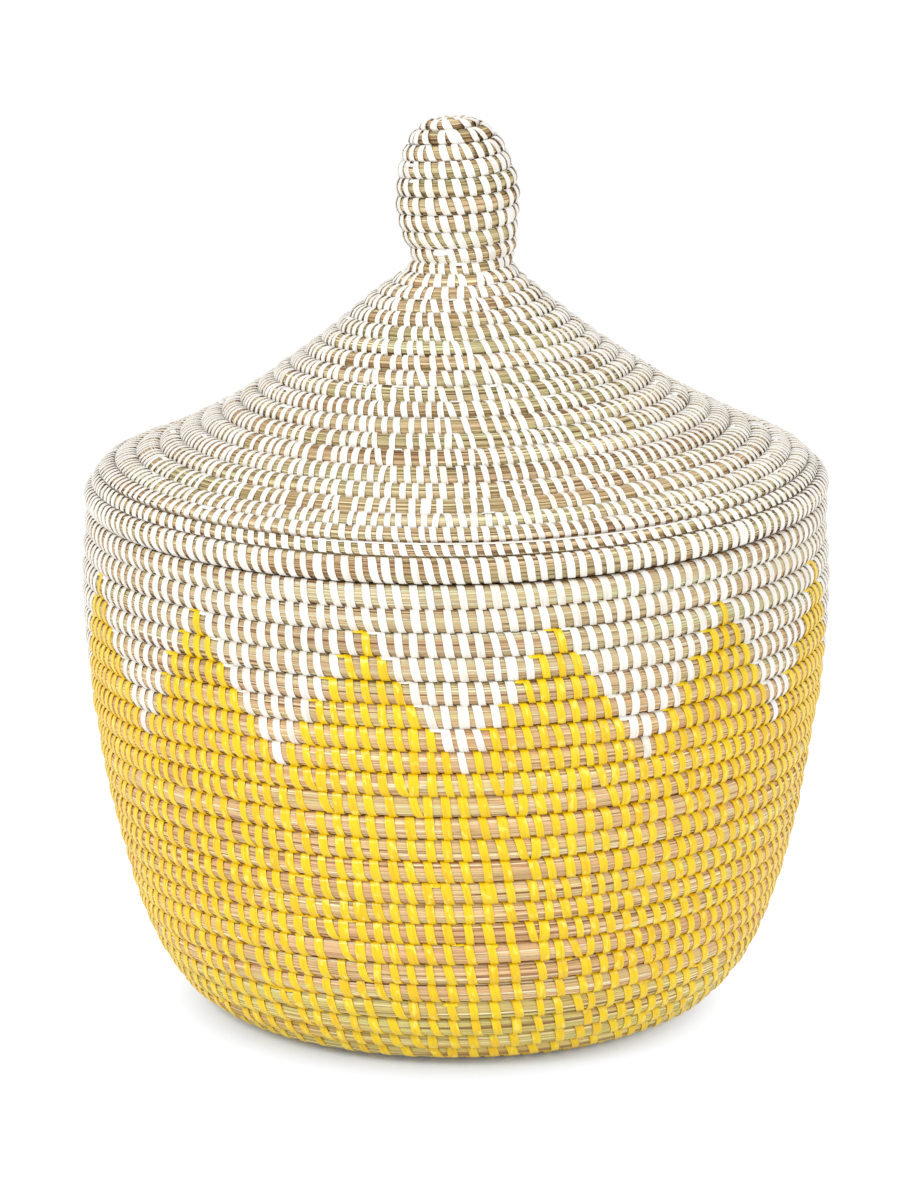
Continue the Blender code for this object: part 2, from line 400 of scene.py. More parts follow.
def settled(coil, out, heading, up):
    """Points from radius, heading and height, risen at the sides and out of true as the warp says."""
    out, heading, up = np.broadcast_arrays(out, heading, up)
    levels, *rises = zip(*SIDE_RISES)
    front, left, right = (np.interp(up, levels, rise) for rise in rises)
    side = np.cos(heading)
    risen = up + front + np.where(side > 0, right - front, left - front) * side**2
    if coil.warp:
        heights, sideways, tilts, swells = zip(*coil.warp)
        out = out + np.interp(up, heights, swells)
    x, y = out * np.cos(heading), out * np.sin(heading)
    if coil.warp:
        risen, x = risen + x * np.interp(up, heights, tilts), x + np.interp(up, heights, sideways)
    return np.stack((x, y, risen), axis=-1)


def wall_coil():
    """The wall's rows, from the foot to the mouth."""
    spread = BELLY_RADIUS - FOOT_RADIUS
    points = [(FOOT_RADIUS + spread * out, WALL_RISE * up) for out, up in WALL_SHARES]
    points.append((RIM_RADIUS, WALL_RISE * RIM_STRAIGHT_SHARE))
    points.append((RIM_RADIUS, WALL_RISE))
    tapers = ((0, END_TAPER), (WALL_TURNS, -END_TAPER))
    return Coil(points, WALL_TURNS, WALL_LIFT, WALL_ROW_SHARES, WALL_WOBBLE, tapers=tapers)


def lid_coil():
    """The lid's rows, from its rim over slope and neck to the knob's crown."""
    reach = RIM_RADIUS - NECK_RADIUS
    points = [(RIM_RADIUS, 0)]
    points += [(RIM_RADIUS - reach * inward, SLOPE_RISE * up) for inward, up in SLOPE_SHARES]
    points.append((NECK_RADIUS, SLOPE_RISE))
    points += [(KNOB_RADIUS * out, SLOPE_RISE + KNOB_RISE * up) for out, up in KNOB_SHARES]
    tapers = ((0, END_TAPER), (LID_END, -CROWN_TAPER))
    return Coil(points, LID_TURNS, LID_LIFT, LID_ROW_SHARES, LID_WOBBLE, LID_WARP, tapers)


def base_coil():
    """The flat spiral under the basket, from the middle outward."""
    return Coil([(BASE_START_RADIUS, 0), (BASE_END_RADIUS, 0)], BASE_TURNS, BASE_LIFT, BASE_ROW_SHARES)


def ring_coil():
    """The ring of rows inside the mouth, which hangs from the lid."""
    points = [(RING_RADIUS, 0), (RING_RADIUS, RING_RISE)]
    tapers = ((0, END_TAPER), (RING_TURNS, -END_TAPER))
    return Coil(points, RING_TURNS, RING_FOOT + RING_RISE / RING_TURNS / 2, tapers=tapers)


# Materials. Cells and noise are counts in a metre: along and round the bundle, or across and along a
# strip. A strip's painted shade along its sides is given as shares of its width and of its darkness.

STEM_CELLS = (11, 1500, 1)
STEM_MOODS = (9, 90, 1)
STEM_LINE_STRENGTH = 0.78
STRIP_STREAKS = (2600, 60, 1)
# Painted glints of highlight on the strip: noise counts across and along it
STRIP_PAINTED_GLINTS = (900, 190, 1)
STRIP_SIDE_SHADE = ((0.06, 1), (0.16, 0.35), (0.23, 0), (0.77, 0), (0.84, 0.35), (0.94, 1))


def new_material(name, roughness):
    material = bpy.data.materials.new(name)
    material.use_nodes = True
    nodes = material.node_tree.nodes
    shader = nodes["Principled BSDF"]
    shader.inputs["Roughness"].default_value = roughness
    shader.inputs["Metallic"].default_value = 0
    return material, nodes, material.node_tree.links, shader


def new_ramp(nodes, stops):
    ramp = nodes.new("ShaderNodeValToRGB")
    elements = ramp.color_ramp.elements
    while len(elements) < len(stops):
        elements.new(1)
    for element, (place, colour) in zip(elements, stops):
        element.position = place
        element.color = colour
    return ramp


def mapped(nodes, links, scale):
    """The piece's own UV map, which is in metres, stretched."""
    uv = nodes.new("ShaderNodeUVMap")
    mapping = nodes.new("ShaderNodeMapping")
    mapping.inputs["Scale"].default_value = scale
    links.new(uv.outputs["UV"], mapping.inputs["Vector"])
    return mapping.outputs["Vector"]


def mixed(nodes, links, blend, factor, below, above):
    """One colour over another. The factor and both colours are sockets or plain values."""
    mix = nodes.new("ShaderNodeMix")
    mix.data_type = "RGBA"
    mix.blend_type = blend
    sockets = (mix.inputs["Factor"], mix.inputs[6], mix.inputs[7])
    for socket, value in zip(sockets, (factor, below, above)):
        if isinstance(value, bpy.types.NodeSocket):
            links.new(value, socket)
        else:
            socket.default_value = value
    return mix.outputs[2]


def read_value(nodes, name):
    """A value that the piece's own points carry."""
    value = nodes.new("ShaderNodeAttribute")
    value.attribute_name = name
    return value.outputs["Fac"]


def with_painted_shade(nodes, links, colour, painted_shade_dark):
    """Painted shade: the colour, multiplied towards a dark one where the piece's painted shade value
    says so.
    """
    return mixed(nodes, links, "MULTIPLY", read_value(nodes, "painted_shade"), colour, painted_shade_dark)


def ramped(nodes, links, value, stops):
    """The colour that a ramp gives for a value."""
    ramp = new_ramp(nodes, stops)
    links.new(value, ramp.inputs["Fac"])
    return ramp.outputs["Color"]


def noise(nodes, links, scale, detail):
    """Flat noise on the piece's own UV map."""
    texture = nodes.new("ShaderNodeTexNoise")
    texture.noise_dimensions = "2D"
    texture.inputs["Scale"].default_value = 1
    texture.inputs["Detail"].default_value = detail
    links.new(mapped(nodes, links, scale), texture.inputs["Vector"])
    return texture.outputs["Fac"]


def stem_cells(nodes, links, feature):
    """Long thin cells, one for each stretch of a stem."""
    cells = nodes.new("ShaderNodeTexVoronoi")
    cells.voronoi_dimensions = "2D"
    cells.feature = feature
    cells.inputs["Scale"].default_value = 1
    links.new(mapped(nodes, links, STEM_CELLS), cells.inputs["Vector"])
    return cells


def bumped(nodes, links, shader, height, strength, distance):
    """Gives a shader the relief of a height."""
    bump = nodes.new("ShaderNodeBump")
    bump.inputs["Strength"].default_value = strength
    bump.inputs["Distance"].default_value = distance
    links.new(height, bump.inputs["Height"])
    links.new(bump.outputs["Normal"], shader.inputs["Normal"])


def grass(name, stems, moods, valley_shade_colour, climb=()):
    """Dried grass: long stems of unlike colour in drifts of mood, and dark lines between them.

    The valley colour is painted shade that darkens the grass between two rows. Climb tints it by
    height.
    """
    material, nodes, links, shader = new_material(name, 0.55)
    shader.inputs["Specular IOR Level"].default_value = 0.35
    split = nodes.new("ShaderNodeSeparateColor")
    links.new(stem_cells(nodes, links, "F1").outputs["Color"], split.inputs["Color"])
    colour = ramped(nodes, links, split.outputs["Red"], stems)
    mood = ramped(nodes, links, noise(nodes, links, STEM_MOODS, 2), moods)
    colour = mixed(nodes, links, "MULTIPLY", 1, colour, mood)
    if climb:
        place = nodes.new("ShaderNodeTexCoord")
        height = nodes.new("ShaderNodeSeparateXYZ")
        links.new(place.outputs["Object"], height.inputs["Vector"])
        tint = ramped(nodes, links, height.outputs["Z"], climb)
        colour = mixed(nodes, links, "MULTIPLY", 1, colour, tint)
    edges = stem_cells(nodes, links, "DISTANCE_TO_EDGE").outputs["Distance"]
    lines = ramped(nodes, links, edges, ((0.0, (0.32, 0.21, 0.13, 1)), (0.10, (1, 1, 1, 1))))
    colour = mixed(nodes, links, "MULTIPLY", STEM_LINE_STRENGTH, colour, lines)
    # Painted shade in the valleys between rows
    links.new(with_painted_shade(nodes, links, colour, valley_shade_colour), shader.inputs["Base Color"])
    bumped(nodes, links, shader, edges, 0.7, 0.0004)
    return material


def strip(name, pale, deep, streak, painted_glint, painted_shade_dark):
    """Plastic strip: each stitch pale or deep, with streaks along it, painted glints of highlight, and
    painted shade at its sides and in the valleys between rows.
    """
    material, nodes, links, shader = new_material(name, 0.30)
    shader.inputs["Specular IOR Level"].default_value = 0.5

    def share(value, stops):
        greys = [(place, (level, level, level, 1)) for place, level in stops]
        return ramped(nodes, links, value, greys)

    colour = ramped(nodes, links, read_value(nodes, "tone"), ((0.0, deep), (0.55, pale), (1.0, pale)))
    fine = noise(nodes, links, STRIP_STREAKS, 3)
    colour = mixed(nodes, links, "MULTIPLY", share(fine, ((0.34, 1), (0.52, 0))), colour, streak)
    # Painted glints: pale spots of highlight along the strip
    painted_glints = share(noise(nodes, links, STRIP_PAINTED_GLINTS, 1), ((0.60, 0), (0.72, 0.75)))
    colour = mixed(nodes, links, "MIX", painted_glints, colour, painted_glint)
    across = nodes.new("ShaderNodeSeparateXYZ")
    links.new(mapped(nodes, links, (1 / STRIP_UV_WIDTH, 1, 1)), across.inputs["Vector"])
    # Painted shade along both sides of the strip
    colour = mixed(nodes, links, "MULTIPLY", share(across.outputs["X"], STRIP_SIDE_SHADE), colour, painted_shade_dark)
    # Painted shade in the valleys between rows
    links.new(with_painted_shade(nodes, links, colour, painted_shade_dark), shader.inputs["Base Color"])
    bumped(nodes, links, shader, fine, 0.55, 0.0002)
    return material


basket_grass = grass(
    "basket_grass",
    stems=(
        (0.00, linear(140, 92, 60)),
        (0.12, linear(218, 176, 134)),
        (0.40, linear(243, 207, 163)),
        (0.68, linear(235, 208, 153)),
        (0.86, linear(252, 232, 190)),
        (1.00, linear(255, 248, 218)),
    ),
    moods=(
        (0.30, (0.86, 0.74, 0.64, 1)),
        (0.44, (1, 0.93, 0.86, 1)),
        (0.60, (1, 1, 0.92, 1)),
        (0.72, (0.90, 0.96, 0.78, 1)),
    ),
    valley_shade_colour=(0.44, 0.30, 0.16, 1),
    climb=((0.165, (1, 1, 1, 1)), (0.205, (0.82, 0.93, 1, 1))),
)
foot_grass = grass(
    "foot_grass",
    stems=(
        (0.00, linear(140, 96, 58)),
        (0.10, linear(206, 182, 122)),
        (0.40, linear(235, 217, 146)),
        (0.68, linear(227, 217, 142)),
        (0.86, linear(249, 235, 178)),
        (1.00, linear(255, 248, 206)),
    ),
    moods=(
        (0.28, (0.86, 0.70, 0.58, 1)),
        (0.42, (1, 0.97, 0.86, 1)),
        (0.66, (0.94, 1, 0.86, 1)),
    ),
    valley_shade_colour=(0.44, 0.30, 0.16, 1),
)
lid_grass = grass(
    "lid_grass",
    stems=(
        (0.00, linear(112, 80, 50)),
        (0.18, linear(166, 138, 94)),
        (0.46, linear(205, 185, 142)),
        (0.74, linear(221, 198, 160)),
        (0.90, linear(241, 226, 188)),
        (1.00, linear(254, 246, 214)),
    ),
    moods=(
        (0.30, (0.78, 0.63, 0.52, 1)),
        (0.44, (1, 0.93, 0.86, 1)),
        (0.58, (0.96, 1, 0.88, 1)),
        (0.72, (0.86, 0.94, 0.78, 1)),
    ),
    valley_shade_colour=(0.50, 0.36, 0.22, 1),
)
yellow_strip = strip(
    "yellow_strip",
    pale=linear(249, 217, 8),
    deep=linear(245, 204, 4),
    streak=(0.95, 0.84, 0.55, 1),
    painted_glint=linear(255, 240, 104),
    painted_shade_dark=(0.64, 0.44, 0.18, 1),
)
white_strip = strip(
    "white_strip",
    pale=linear(253, 252, 247),
    deep=linear(245, 240, 231),
    streak=(0.90, 0.87, 0.82, 1),
    painted_glint=linear(255, 255, 255),
    painted_shade_dark=(0.30, 0.22, 0.16, 1),
)


# Pieces


def new_grid(name, across, along):
    """A flat grid from Blender's own primitive; its points come back as shares of both ways."""
    bpy.ops.object.select_all(action="DESELECT")
    bpy.ops.mesh.primitive_grid_add(x_subdivisions=across, y_subdivisions=along, size=1)
    piece = bpy.context.object
    piece.name = name
    piece.data.name = name
    flat = np.empty(len(piece.data.vertices) * 3)
    piece.data.vertices.foreach_get("co", flat)
    flat = flat.reshape(-1, 3)
    return piece, flat[:, 0] + 0.5, flat[:, 1] + 0.5


def set_points(piece, points):
    piece.data.vertices.foreach_set("co", points.astype(np.float32).ravel())
    piece.data.update()


def add_values(piece, name, values):
    """Gives each point of a piece a value for its material to read."""
    layer = piece.data.attributes.new(name, "FLOAT", "POINT")
    spread = np.broadcast_to(values, len(piece.data.vertices))
    layer.data.foreach_set("value", spread.astype(np.float32))


def painted_valley_shade(angle, start):
    """Painted shade: from 0 on the open side of a row to 1 down in the valley between two rows."""
    part = np.clip((np.abs(np.sin(angle)) - start) / (1 - start), 0, 1)
    return part * part


def dress(piece, material, body):
    """Gives a piece its material and smooth faces, and says what it moves with and is made of."""
    piece.data.materials.clear()
    piece.data.materials.append(material)
    piece.data.polygons.foreach_set("use_smooth", np.ones(len(piece.data.polygons), dtype=bool))
    piece.data.set_sharp_from_angle(angle=CRISP_ANGLE)
    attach(piece, body)
    return piece


def close_bundle(piece):
    """Joins the seam and the ends, and turns the faces outward."""
    bpy.ops.object.select_all(action="DESELECT")
    piece.select_set(True)
    bpy.context.view_layer.objects.active = piece
    bpy.ops.object.mode_set(mode="EDIT")
    bpy.ops.mesh.select_all(action="SELECT")
    bpy.ops.mesh.remove_doubles(threshold=0.00001)
    bpy.ops.mesh.normals_make_consistent(inside=False)
    bpy.ops.object.mode_set(mode="OBJECT")


def bundle(name, coil, first, last, material, body, node):
    """The grass of some rows: a straight bundle of stems, wound along its coil, its ends cut square."""
    length = float(coil.reach(last) - coil.reach(first))
    stations = max(8, math.ceil(length / STATION_LENGTH))
    sides = STEMS * 2
    piece, along, around = new_grid(name, stations, sides)
    station = np.rint(along * stations).astype(int)
    side = np.rint(around * sides).astype(int)
    turns = np.concatenate(([first], np.linspace(first, last, stations - 1), [last]))
    # Stems: every second line of points is a stem's crest, and each stem swells and thins on its way
    steps = math.ceil(length / STEM_LENGTH)
    swell = smooth_noise(steps, STEMS, np.linspace(0, steps, stations + 1))
    relief = np.full((stations + 1, sides + 1), -STEM_RELIEF)
    relief[:, 0:sides:2] = STEM_RELIEF + swell * STEM_DRIFT
    relief[:, sides] = relief[:, 0]
    proud = relief[station, side]
    angle = math.pi - math.tau * side / sides
    points = wound(coil, turns[station], angle, proud)
    ends = (station == 0) | (station == stations)
    radius, height = coil.read(turns[station])[:2]
    points[ends] = settled(coil, radius, START_ANGLE + math.tau * turns[station], height)[ends]
    set_points(piece, points)
    # Painted shade, darker down in the valley between rows
    add_values(piece, "painted_shade", painted_valley_shade(angle, GRASS_SHADE_START))
    uv = piece.data.uv_layers.active.data
    flat = np.empty(len(uv) * 2)
    uv.foreach_get("uv", flat)
    flat = flat.reshape(-1, 2)
    at = turns[np.rint(flat[:, 0] * stations).astype(int)]
    flat[:, 0] = coil.reach(at)
    flat[:, 1] *= math.tau * coil.read(at)[4]
    uv.foreach_set("uv", flat.ravel())
    close_bundle(piece)
    dress(piece, material, body)
    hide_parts(node)
    return piece


def unit_grid(across, along):
    """One strip as a flat grid: its points' places across and along, and its faces."""
    piece, *places = new_grid("strip", across, along)
    faces = np.array([tuple(face.vertices) for face in piece.data.polygons])
    bpy.data.objects.remove(piece, do_unlink=True)
    return *places, faces


def new_strips(name, points, faces, shown, uv_across, uv_along):
    """Many strips as one mesh. The face called shown lies on the open side and tells in from out."""
    count, size = points.shape[:2]
    corners = (faces[None] + np.arange(count)[:, None, None] * size).reshape(-1, 4)
    one = points[0][faces[shown]]
    normal = np.cross(one[1] - one[0], one[3] - one[0])
    if normal[:2] @ one[0][:2] < 0:
        corners = corners[:, ::-1]
    mesh = bpy.data.meshes.new(name)
    mesh.from_pydata(points.reshape(-1, 3).tolist(), [], corners.tolist())
    places = np.stack((uv_across.ravel(), uv_along.ravel()), axis=-1)[corners.reshape(-1)]
    mesh.uv_layers.new(name="UVMap").data.foreach_set("uv", places.astype(np.float32).ravel())
    piece = bpy.data.objects.new(name, mesh)
    bpy.context.scene.collection.objects.link(piece)
    return piece


def lash(name, coil, stitches, material, body):
    """Stitches wound round the bundle: each goes down over the outside and back up behind it."""
    across, along, faces = unit_grid(len(STRIP_PROFILE) - 1, STRIP_STATIONS)
    lines = np.array(STRIP_PROFILE)
    column = np.rint(across * (len(lines) - 1)).astype(int)
    share, proud = lines[column, 0], lines[column, 1]
    turn, room, width, slant, top, foot, tone = (stitches[:, k, None] for k in range(7))
    angle = math.pi / 2 - math.tau * along[None, :]
    outside = np.clip(along * 2, 0, 1)[None, :]
    inside = np.clip(along * 2 - 1, 0, 1)[None, :]
    shift = (outside - 0.5) * slant + inside * (room - slant)
    shift = shift + top * (1 - outside) ** 2 + foot * outside**2 * (1 - inside)
    waist = 1 - STRIP_WAIST * np.sin(angle) ** 2
    radius = coil.read(turn)[0]
    place = turn + (shift + share[None, :] * width * waist) / (math.tau * radius)
    on_outside = np.cos(angle) > -0.01
    bridge = STRIP_BRIDGE * np.sin(angle) ** 4 * on_outside
    pressed = 1 - STRIP_PRESSED * np.sin(angle) ** 6
    height = proud[None, :] * pressed * (STRIP_LEAST_PROUD + STRIP_MORE_PROUD * tone)
    points = wound(coil, place, angle, height, bridge)
    count, size = len(stitches), len(across)
    uv_across = np.tile(across * STRIP_UV_WIDTH, count)
    uv_along = np.tile(along * STRIP_UV_LENGTH, count)
    uv_along += np.repeat(np.arange(count) * STRIP_UV_STEP, size)
    piece = new_strips(name, points, faces, len(faces) // 6, uv_across, uv_along)
    add_values(piece, "tone", np.repeat(stitches[:, 6], size))
    # Painted shade, darker down in the valley between rows
    painted_shade = STRIP_VALLEY_SHADE * painted_valley_shade(angle[0], STRIP_SHADE_START)
    add_values(piece, "painted_shade", np.tile(painted_shade, count))
    return dress(piece, material, body)


def strands(name, coil, runs, material, body):
    """Ends of strip that lie along a row: each from a turn to a turn, at an angle round the row."""
    along, across, faces = unit_grid(STRAND_STATIONS, 2)
    first, last, angle, width, tone = (runs[:, k, None] for k in range(5))
    turn = first + (last - first) * along
    half = coil.read(turn)[4]
    ends = np.abs(2 * along - 1) ** 6
    bow = np.sin(math.pi * along) * STRAND_BOW
    side = angle - bow + (across - 0.5) * width / half
    proud = STRAND_PROUD * (1 - STRAND_TIP_PRESSED * ends) - STRAND_CROWN * np.abs(2 * across - 1)
    points = wound(coil, turn, side, proud)
    count, size = len(runs), len(along)
    uv_across = np.tile((STRAND_UV_START + STRAND_UV_SHARE * across) * STRIP_UV_WIDTH, count)
    uv_along = np.tile(along * STRIP_UV_LENGTH, count)
    piece = new_strips(name, points, faces, 0, uv_across, uv_along)
    add_values(piece, "tone", np.repeat(tone[:, 0], size))
    # No painted shade on the ends of strip
    add_values(piece, "painted_shade", 0)
    return dress(piece, material, body)


# Stitches: where they stand along a coil, and how each one differs


def first_row(coil, first, way, room):
    """Stitches of one whole row, evenly apart."""
    count = round(coil.way_round(first + way / 2) / room)
    return [first + way * k / count for k in range(count)]


def columns(coil, places, last, room):
    """Where stitches stand: in columns, each over the one in the row before, eased to an even room.

    Goes on from a row of places to the turn last. A column is dropped where rows shrink and a new
    one put in where they grow. Gives all the turns, and where a column was dropped.
    """
    places = list(places)
    way = 1 if last > places[-1] else -1
    index = max(len(places) - round(1 / abs(places[-1] - places[-2])), 0)
    dropped = []
    while True:
        nominal = room(places[-1]) / coil.way_round(places[-1])
        gap = way * (places[index] - places[-1]) + 1
        if gap < NARROW_SHARE * nominal:
            dropped.append(index)
            index += 1
            continue
        if gap > WIDE_SHARE * nominal:
            step = gap / 2
        else:
            step = EASE_SHARE * nominal + (1 - EASE_SHARE) * gap
            index += 1
        if (places[-1] + way * step - last) * way > 0:
            return np.array(places), dropped
        places.append(places[-1] + way * step)


def stitch_table(coil, places, dropped, downward, widths, slants, double_share):
    """Rows of stitch values: turn, room, width, slant, shift of top and foot, tone.

    Beside a dropped column the stitches lean into the gap: with their feet where the columns were
    laid downward, and else with their tops.
    """
    order = np.argsort(places)
    pinch = np.zeros(len(places))
    for index in dropped:
        near = index - 1
        if near < 0:
            continue
        gap = (places[index] - places[near]) * coil.way_round(places[index])
        pinch[index] -= PINCH_SHARE * gap
        pinch[near] += PINCH_SHARE * gap
    places, pinch = places[order], pinch[order]
    count = len(places)
    radius = coil.read(places)[0]
    gaps = np.diff(places)
    room = np.append(gaps, gaps[-1]) * math.tau * radius
    shift = dice.normal(0, PLACE_SPREAD, count).clip(-PLACE_LIMIT, PLACE_LIMIT)
    steps = math.ceil(count / MOOD_STITCHES)
    moods = smooth_noise(steps, 2, np.linspace(0, steps, count))
    shift = shift + moods[:, 1] * MOOD_PLACE
    width = table_value(widths, places) * dice.normal(1, WIDTH_SPREAD, count).clip(*WIDTH_LIMITS)
    width = width * (1 + MOOD_WIDTH * moods[:, 0])
    double = dice.uniform(0, 1, count) < double_share
    width[double] *= dice.uniform(*DOUBLE_WIDTHS, double.sum())
    slant = table_value(slants, places) + dice.normal(0, SLANT_SPREAD, count)
    top = dice.normal(0, END_SPREAD, count)
    foot = dice.normal(0, END_SPREAD, count)
    if downward:
        foot = foot + pinch
    else:
        top = top + pinch
    tone = dice.uniform(0, 1, count)
    turn = places + shift / (math.tau * radius)
    return np.stack((turn, room, width, slant, top, foot, tone), axis=1)


def wall_room(turn):
    """Room for a stitch of the wall, a little more of it at the front."""
    front = math.cos(math.tau * (turn - FRONT_TURN))
    return float(table_value(WALL_ROOMS, turn)) * (1 + FRONT_SPREAD * front)


def lid_room(turn):
    return float(table_value(LID_ROOMS, turn))


def is_yellow(turns):
    """Yellow below the zigzag; in it, each row down has two more yellow stitches at each point."""
    row = np.floor(turns)
    place = np.rint((turns - POINT_TURN) * BAND_STITCHES)
    from_point = np.mod(place, POINT_STITCHES)
    from_point = np.minimum(from_point, POINT_STITCHES - from_point)
    return (row < BAND_START) | ((row < BAND_END) & (from_point < BAND_END - row))


def valley_ends(coil, turns, yellow):
    """Ends of strip where the zigzag's colour changes, yellow ones and white ones.

    Each gives its first and last turn, angle round the row, width and tone.
    """
    places = np.rint((turns - POINT_TURN) * BAND_STITCHES).astype(int)
    colours = dict(zip(places.tolist(), yellow.tolist()))
    ends = {True: [], False: []}
    for place in range((BAND_START + 1) * BAND_STITCHES, BAND_END * BAND_STITCHES):
        here, after = colours.get(place), colours.get(place + 1)
        if here is None or after is None or here == after:
            continue
        turn = POINT_TURN + (place + 0.5) / BAND_STITCHES
        reach = dice.uniform(0.0045, 0.0090) / coil.way_round(turn)
        angle = dice.uniform(1.02, 1.20)
        width = dice.uniform(0.0015, 0.0023)
        ends[after].append((turn - reach * 0.6, turn + reach * 0.4, angle, width, 0.7))
    return np.array(ends[True]), np.array(ends[False])


def loose_ends(coil, turns, lengths, angles, widths, tones):
    """Short ends of strip here and there, each from its turn on, in the same five values."""
    ends = []
    for turn in turns:
        reach = dice.uniform(*lengths) / coil.way_round(turn)
        angle = dice.uniform(*angles)
        width = dice.uniform(*widths)
        ends.append((turn, turn + reach, angle, width, dice.uniform(*tones)))
    return np.array(ends)


# The basket and its lid: pieces by the CAD node that they replace, with their first and last turn

wall = wall_coil()
lid = lid_coil()
base = base_coil()
ring = ring_coil()

WALL_NODES = (
    ("foot", "foot_coil", 0, 5, foot_grass),
    ("yellow_wall", "yellow_wall_coil", 5, BAND_START, basket_grass),
    ("zigzag_band", "zigzag_band_coil", BAND_START, BAND_END, basket_grass),
    ("mouth_rim", "mouth_rim_coil", BAND_END, WALL_TURNS, basket_grass),
)
LID_NODES = (
    ("lid_rim", "lid_rim_coil", 0, 1),
    ("lid_slope", "lid_slope_coil", 1, 15),
    ("lid_neck", "lid_neck_coil", 15, 20.5),
    ("knob", "knob_coil", 20.5, 27.5),
    ("knob_crown", "knob_crown_coil", 27.5, LID_END),
)
for name, node, first, last, stems in WALL_NODES:
    bundle(name + "_grass", wall, first, last, stems, "basket", node)
for name, node, first, last in LID_NODES:
    bundle(name + "_grass", lid, first, last, lid_grass, "lid", node)
bundle("base_grass", base, 0, BASE_TURNS, foot_grass, "basket", "coiled_base")
bundle("ring_grass", ring, 0, RING_TURNS, lid_grass, "lid", "locating_ring")

# The zigzag's stitches stand evenly, counted down from the mouth. The rows under it go on from them.
top_turn = WALL_TURNS - 1 + POINT_TURN + TOP_STITCH / BAND_STITCHES
band_count = round((top_turn - BAND_START + 1) * BAND_STITCHES)
wall_places = top_turn - np.arange(band_count) / BAND_STITCHES
wall_places, wall_dropped = columns(wall, wall_places, 0, wall_room)
wall_stitches = stitch_table(
    wall,
    wall_places,
    wall_dropped,
    downward=True,
    widths=WALL_WIDTHS,
    slants=WALL_SLANTS,
    double_share=0.005,
)
wall_yellow = is_yellow(np.sort(wall_places))

lid_places = first_row(lid, 0, 1, lid_room(0))
lid_places, lid_dropped = columns(lid, lid_places, LID_END - 0.3, lid_room)
lid_stitches = stitch_table(
    lid,
    lid_places,
    lid_dropped,
    downward=False,
    widths=LID_WIDTHS,
    slants=LID_SLANTS,
    double_share=0.015,
)

for name, node, first, last, stems in WALL_NODES:
    chosen = (wall_stitches[:, 0] >= first) & (wall_stitches[:, 0] < last)
    yellow = wall_stitches[chosen & wall_yellow]
    white = wall_stitches[chosen & ~wall_yellow]
    if len(yellow):
        lash(name + "_yellow_strip", wall, yellow, yellow_strip, "basket")
    if len(white):
        lash(name + "_white_strip", wall, white, white_strip, "basket")
for name, node, first, last in LID_NODES:
    chosen = (lid_stitches[:, 0] >= first) & (lid_stitches[:, 0] < last)
    lash(name + "_white_strip", lid, lid_stitches[chosen], white_strip, "lid")

# Ends of strip: in the zigzag's valleys, here and there, and one pale one along the lid's tucked row
yellow_ends, white_ends = valley_ends(wall, np.sort(wall_places), wall_yellow)
strands("zigzag_yellow_ends", wall, yellow_ends, yellow_strip, "basket")
strands("zigzag_white_ends", wall, white_ends, white_strip, "basket")
wall_ends = loose_ends(
    wall,
    turns=dice.uniform(0.5, 15.5, 90),
    lengths=(0.0040, 0.0085),
    angles=(0.95, 1.25),
    widths=(0.0010, 0.0020),
    tones=(0, 1),
)
strands("wall_yellow_ends", wall, wall_ends, yellow_strip, "basket")
lid_ends = loose_ends(
    lid,
    turns=np.concatenate((dice.uniform(2, 12, 70), dice.uniform(12, 27, 30))),
    lengths=(0.0040, 0.0070),
    angles=(0.40, 1.20),
    widths=(0.0014, 0.0026),
    tones=(0.3, 1),
)
strands("lid_white_ends", lid, lid_ends, white_strip, "lid")
tucked_end = np.array([(1.40, 1.58, 0.75, 0.0011, 0.0)])
strands("lid_tucked_end", lid, tucked_end, white_strip, "lid")

base_places = first_row(base, BASE_TURNS, -1, wall_room(0))
base_places, base_dropped = columns(base, base_places, 0.3, wall_room)
base_stitches = stitch_table(
    base,
    base_places,
    base_dropped,
    downward=True,
    widths=WALL_WIDTHS,
    slants=WALL_SLANTS,
    double_share=0.008,
)
lash("base_yellow_strip", base, base_stitches, yellow_strip, "basket")

ring_places = first_row(ring, 0.002, 1, lid_room(2))
ring_places, ring_dropped = columns(ring, ring_places, RING_TURNS, lid_room)
ring_stitches = stitch_table(
    ring,
    ring_places,
    ring_dropped,
    downward=False,
    widths=LID_WIDTHS,
    slants=LID_SLANTS,
    double_share=0.01,
)
lash("ring_white_strip", ring, ring_stitches, white_strip, "lid")


# Floor, light and camera

FLOOR_SIZE = 14
FLOOR_DROP = 0.0002
FLOOR_FADE = 2
FLOOR_FADE_PLACE = (0.008, 0.032, 0)
CAMERA_PLACE = (0, -1.792, 0.6043)
CAMERA_TILT = math.radians(77.0)
CAMERA_LENS = 115.2
CAMERA_SHIFT = 0.0017
LAMP_TARGET = (0, 0, 0.2)
WORLD_STRENGTH = 0.68


def background_rays(nodes, links):
    """1 for the rays that show the white background: the camera's, and those in gloss and glass."""
    path = nodes.new("ShaderNodeLightPath")
    rays = path.outputs["Is Camera Ray"]
    for kind in ("Is Glossy Ray", "Is Transmission Ray"):
        either = nodes.new("ShaderNodeMath")
        either.operation = "MAXIMUM"
        links.new(rays, either.inputs[0])
        links.new(path.outputs[kind], either.inputs[1])
        rays = either.outputs["Value"]
    return rays


